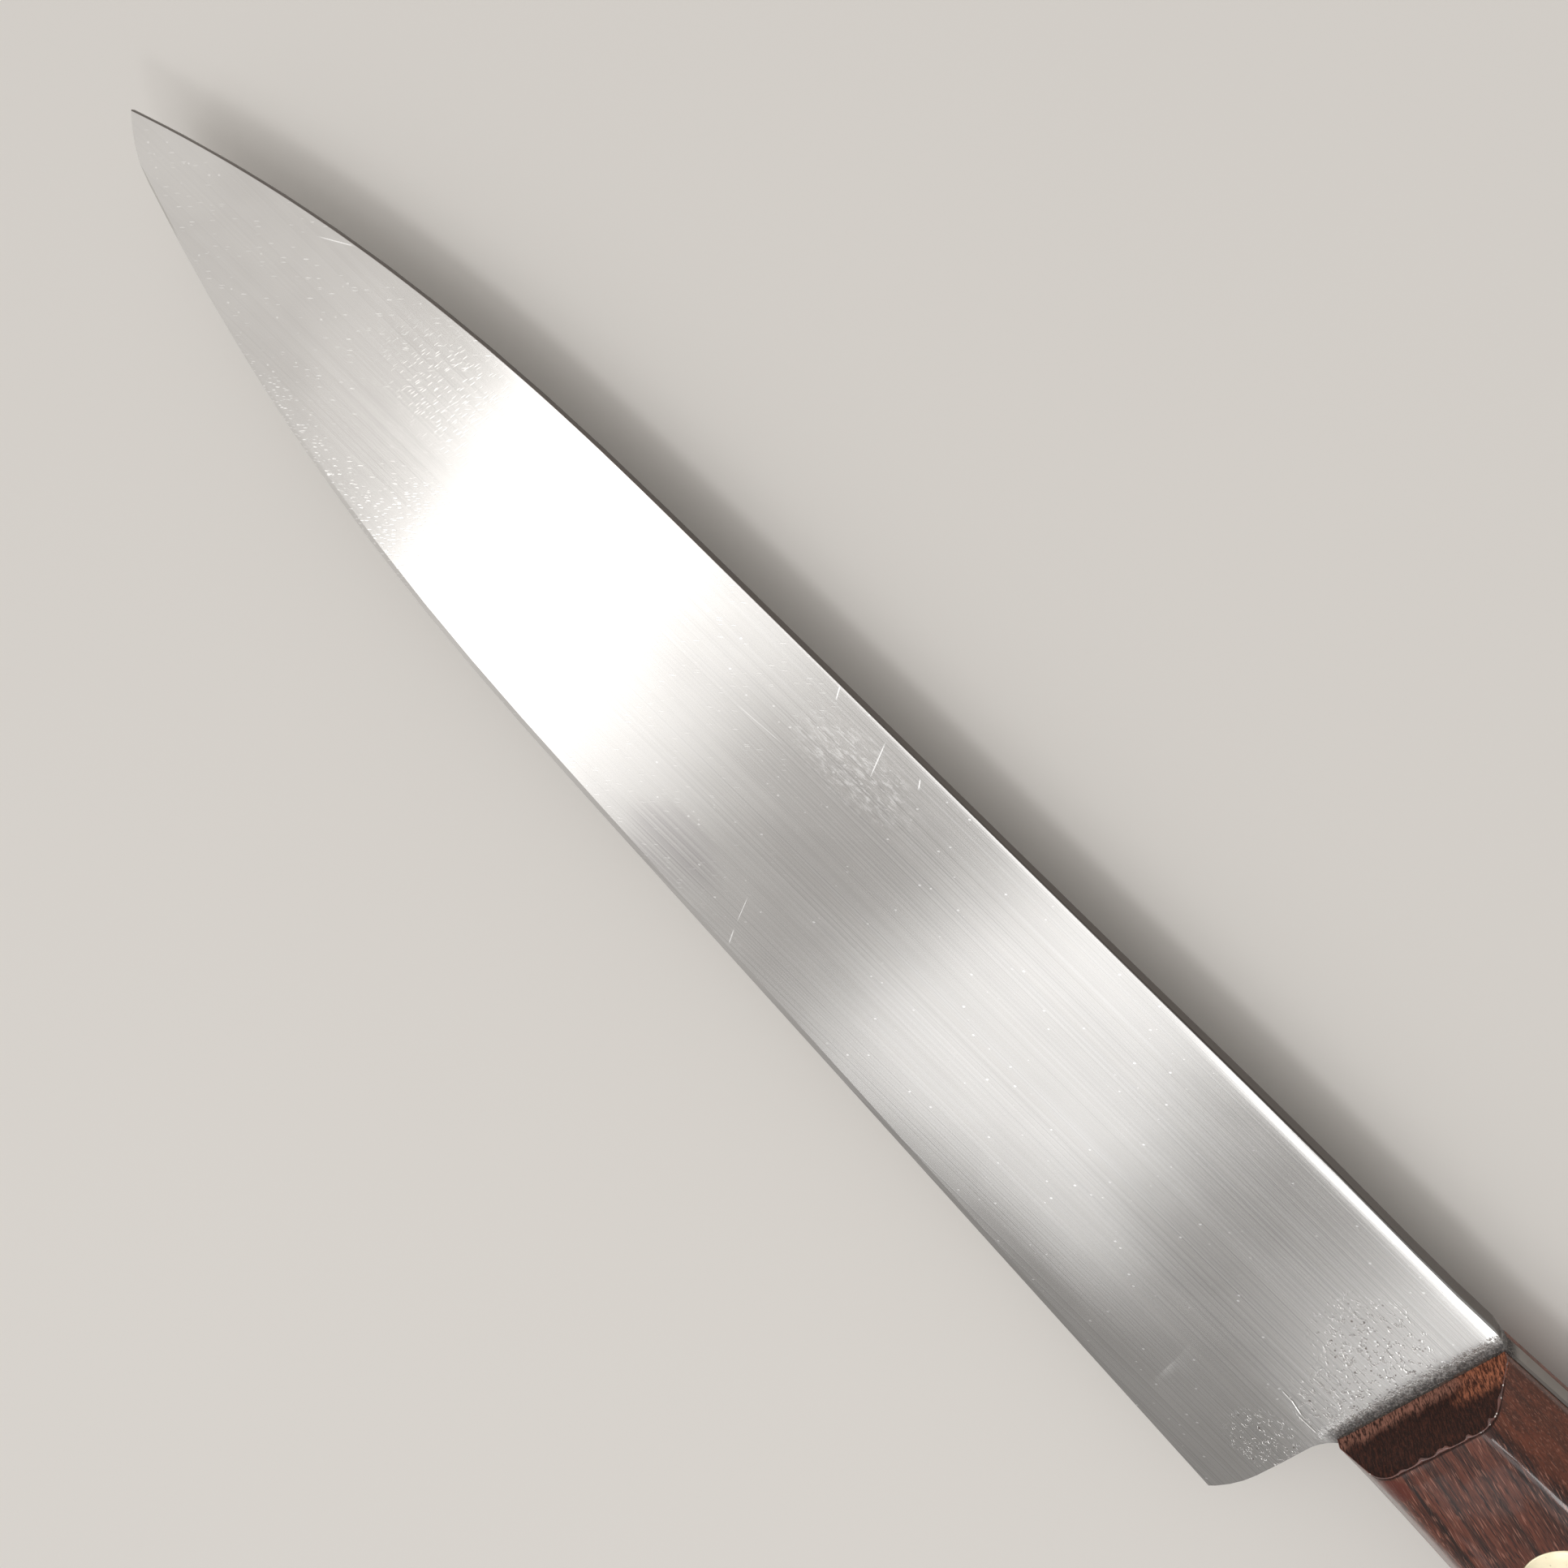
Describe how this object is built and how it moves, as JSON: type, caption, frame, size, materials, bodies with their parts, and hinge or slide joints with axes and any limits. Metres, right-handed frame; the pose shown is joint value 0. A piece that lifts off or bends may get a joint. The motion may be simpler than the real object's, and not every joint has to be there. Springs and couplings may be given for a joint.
{
  "type": "chef knife",
  "caption": "Full-tang chef knife with a tapered, softly bellied steel blade and faceted hardwood handle scales held by flush brass rivets.",
  "frame": {"origin": "middle of the knife's footprint, on the plane that the right scale's flat side rests on", "axes": "+X from the tip to the butt, +Y from the cutting edge to the spine, +Z out of the left side"},
  "size_m": [0.3248, 0.0438, 0.0167],
  "materials": {
    "blade_steel": "satin, lengthwise scratches",
    "hardwood": "gloss lacquer over fine dark red grain",
    "brass": "sanded flush, fine scratches"
  },
  "bodies": {
    "root": {"blade": "blade_steel", "left_scale": "hardwood", "right_scale": "hardwood", "rivet_sleeve_front": "brass", "rivet_sleeve_middle": "brass", "rivet_sleeve_rear": "brass", "rivet_post_front": "brass", "rivet_post_middle": "brass", "rivet_post_rear": "brass"}
  },
  "joints": []
}
